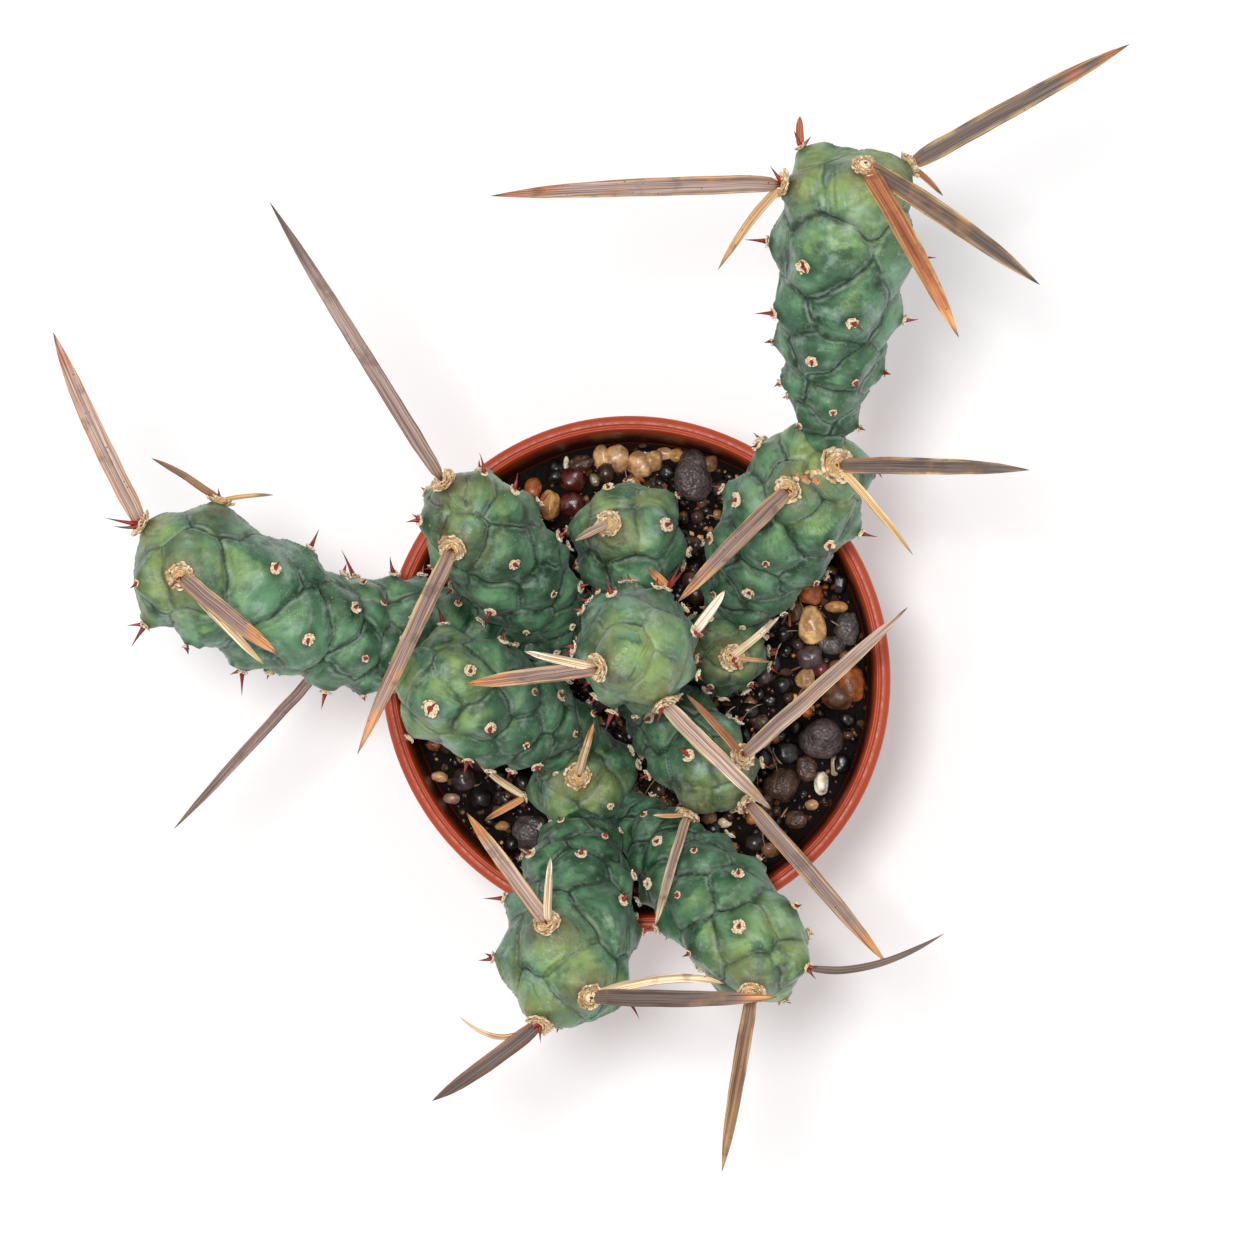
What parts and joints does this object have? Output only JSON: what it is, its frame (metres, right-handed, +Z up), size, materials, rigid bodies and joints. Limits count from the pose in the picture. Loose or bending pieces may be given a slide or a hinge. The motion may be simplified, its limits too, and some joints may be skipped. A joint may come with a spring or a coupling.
{
  "type": "potted pinecone cactus",
  "caption": "Paper-spine pinecone cactus: jointed lumpy stem segments with long flat spines, in a round tapered plastic nursery pot of pebbly soil.",
  "frame": {"origin": "middle of the pot's flat underside", "axes": "+Z up, +X to the right and +Y away as seen in the picture from above"},
  "size_m": [0.2347, 0.2442, 0.2022],
  "materials": {
    "pot_plastic": "satin, moulded, terracotta-coloured",
    "soil": "dark gritty soil with lava, tan and brown pebbles",
    "stem": "waxy blue-green skin with cream areoles and papery brown-grey spines"
  },
  "bodies": {
    "root": {"pot": "pot_plastic", "soil": "soil", "stem_root": "stem", "stem_centre": "stem", "stem_upper_left": "stem", "stem_bottom_inner": "stem", "stem_left": "stem", "stem_far_left": "stem", "stem_far_left_under": "stem", "stem_top": "stem", "stem_right": "stem", "stem_upper_right": "stem", "stem_upper_right_outer": "stem", "stem_lower_right_inner": "stem", "stem_bottom": "stem", "stem_bottom_right": "stem"}
  },
  "joints": []
}
